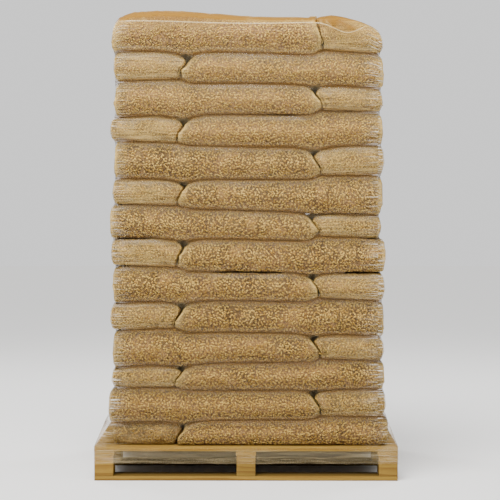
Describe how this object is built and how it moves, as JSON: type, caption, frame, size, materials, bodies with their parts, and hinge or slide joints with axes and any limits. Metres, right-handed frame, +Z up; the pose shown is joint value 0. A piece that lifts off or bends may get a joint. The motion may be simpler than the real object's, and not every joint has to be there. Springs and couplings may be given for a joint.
{
  "type": "pallet of sacks",
  "caption": "Tall stack of clear sacks of wood pellets, laid in bonded layers on a wooden block pallet and held together by clear stretch film.",
  "frame": {"origin": "on the floor, under the middle of the pallet", "axes": "+Z up; +X along the pallet's long side, to the right as seen from the front; +Y from the front to the back along its short side"},
  "size_m": [1.2026, 0.8026, 1.8606],
  "materials": {
    "pallet_wood": "sawn pine, bare",
    "sacked_pellets": "light wood pellets seen through clear plastic film",
    "stretch_film": "clear stretch film, wrinkled"
  },
  "bodies": {
    "root": {"skid_board_front": "pallet_wood", "skid_board_middle": "pallet_wood", "skid_board_back": "pallet_wood", "block_front_left": "pallet_wood", "block_front_middle": "pallet_wood", "block_front_right": "pallet_wood", "block_middle_left": "pallet_wood", "block_middle_middle": "pallet_wood", "block_middle_right": "pallet_wood", "block_back_left": "pallet_wood", "block_back_middle": "pallet_wood", "block_back_right": "pallet_wood", "stringer_board_left": "pallet_wood", "stringer_board_middle": "pallet_wood", "stringer_board_right": "pallet_wood", "deck_board_1": "pallet_wood", "deck_board_2": "pallet_wood", "deck_board_3": "pallet_wood", "deck_board_4": "pallet_wood", "deck_board_5": "pallet_wood", "deck_board_6": "pallet_wood", "deck_board_7": "pallet_wood", "layer_01_cross_sack": "sacked_pellets", "layer_01_long_sacks": "sacked_pellets", "layer_02_cross_sack": "sacked_pellets", "layer_02_long_sacks": "sacked_pellets", "layer_03_cross_sack": "sacked_pellets", "layer_03_long_sacks": "sacked_pellets", "layer_04_cross_sack": "sacked_pellets", "layer_04_long_sacks": "sacked_pellets", "layer_05_cross_sack": "sacked_pellets", "layer_05_long_sacks": "sacked_pellets", "layer_06_cross_sack": "sacked_pellets", "layer_06_long_sacks": "sacked_pellets", "layer_07_cross_sack": "sacked_pellets", "layer_07_long_sacks": "sacked_pellets", "layer_08_cross_sack": "sacked_pellets", "layer_08_long_sacks": "sacked_pellets", "layer_09_cross_sack": "sacked_pellets", "layer_09_long_sacks": "sacked_pellets", "layer_10_cross_sack": "sacked_pellets", "layer_10_long_sacks": "sacked_pellets", "layer_11_cross_sack": "sacked_pellets", "layer_11_long_sacks": "sacked_pellets", "layer_12_cross_sack": "sacked_pellets", "layer_12_long_sacks": "sacked_pellets", "layer_13_cross_sack": "sacked_pellets", "layer_13_long_sacks": "sacked_pellets", "layer_14_cross_sack": "sacked_pellets", "layer_14_long_sacks": "sacked_pellets", "stretch_film": "stretch_film"}
  },
  "joints": []
}
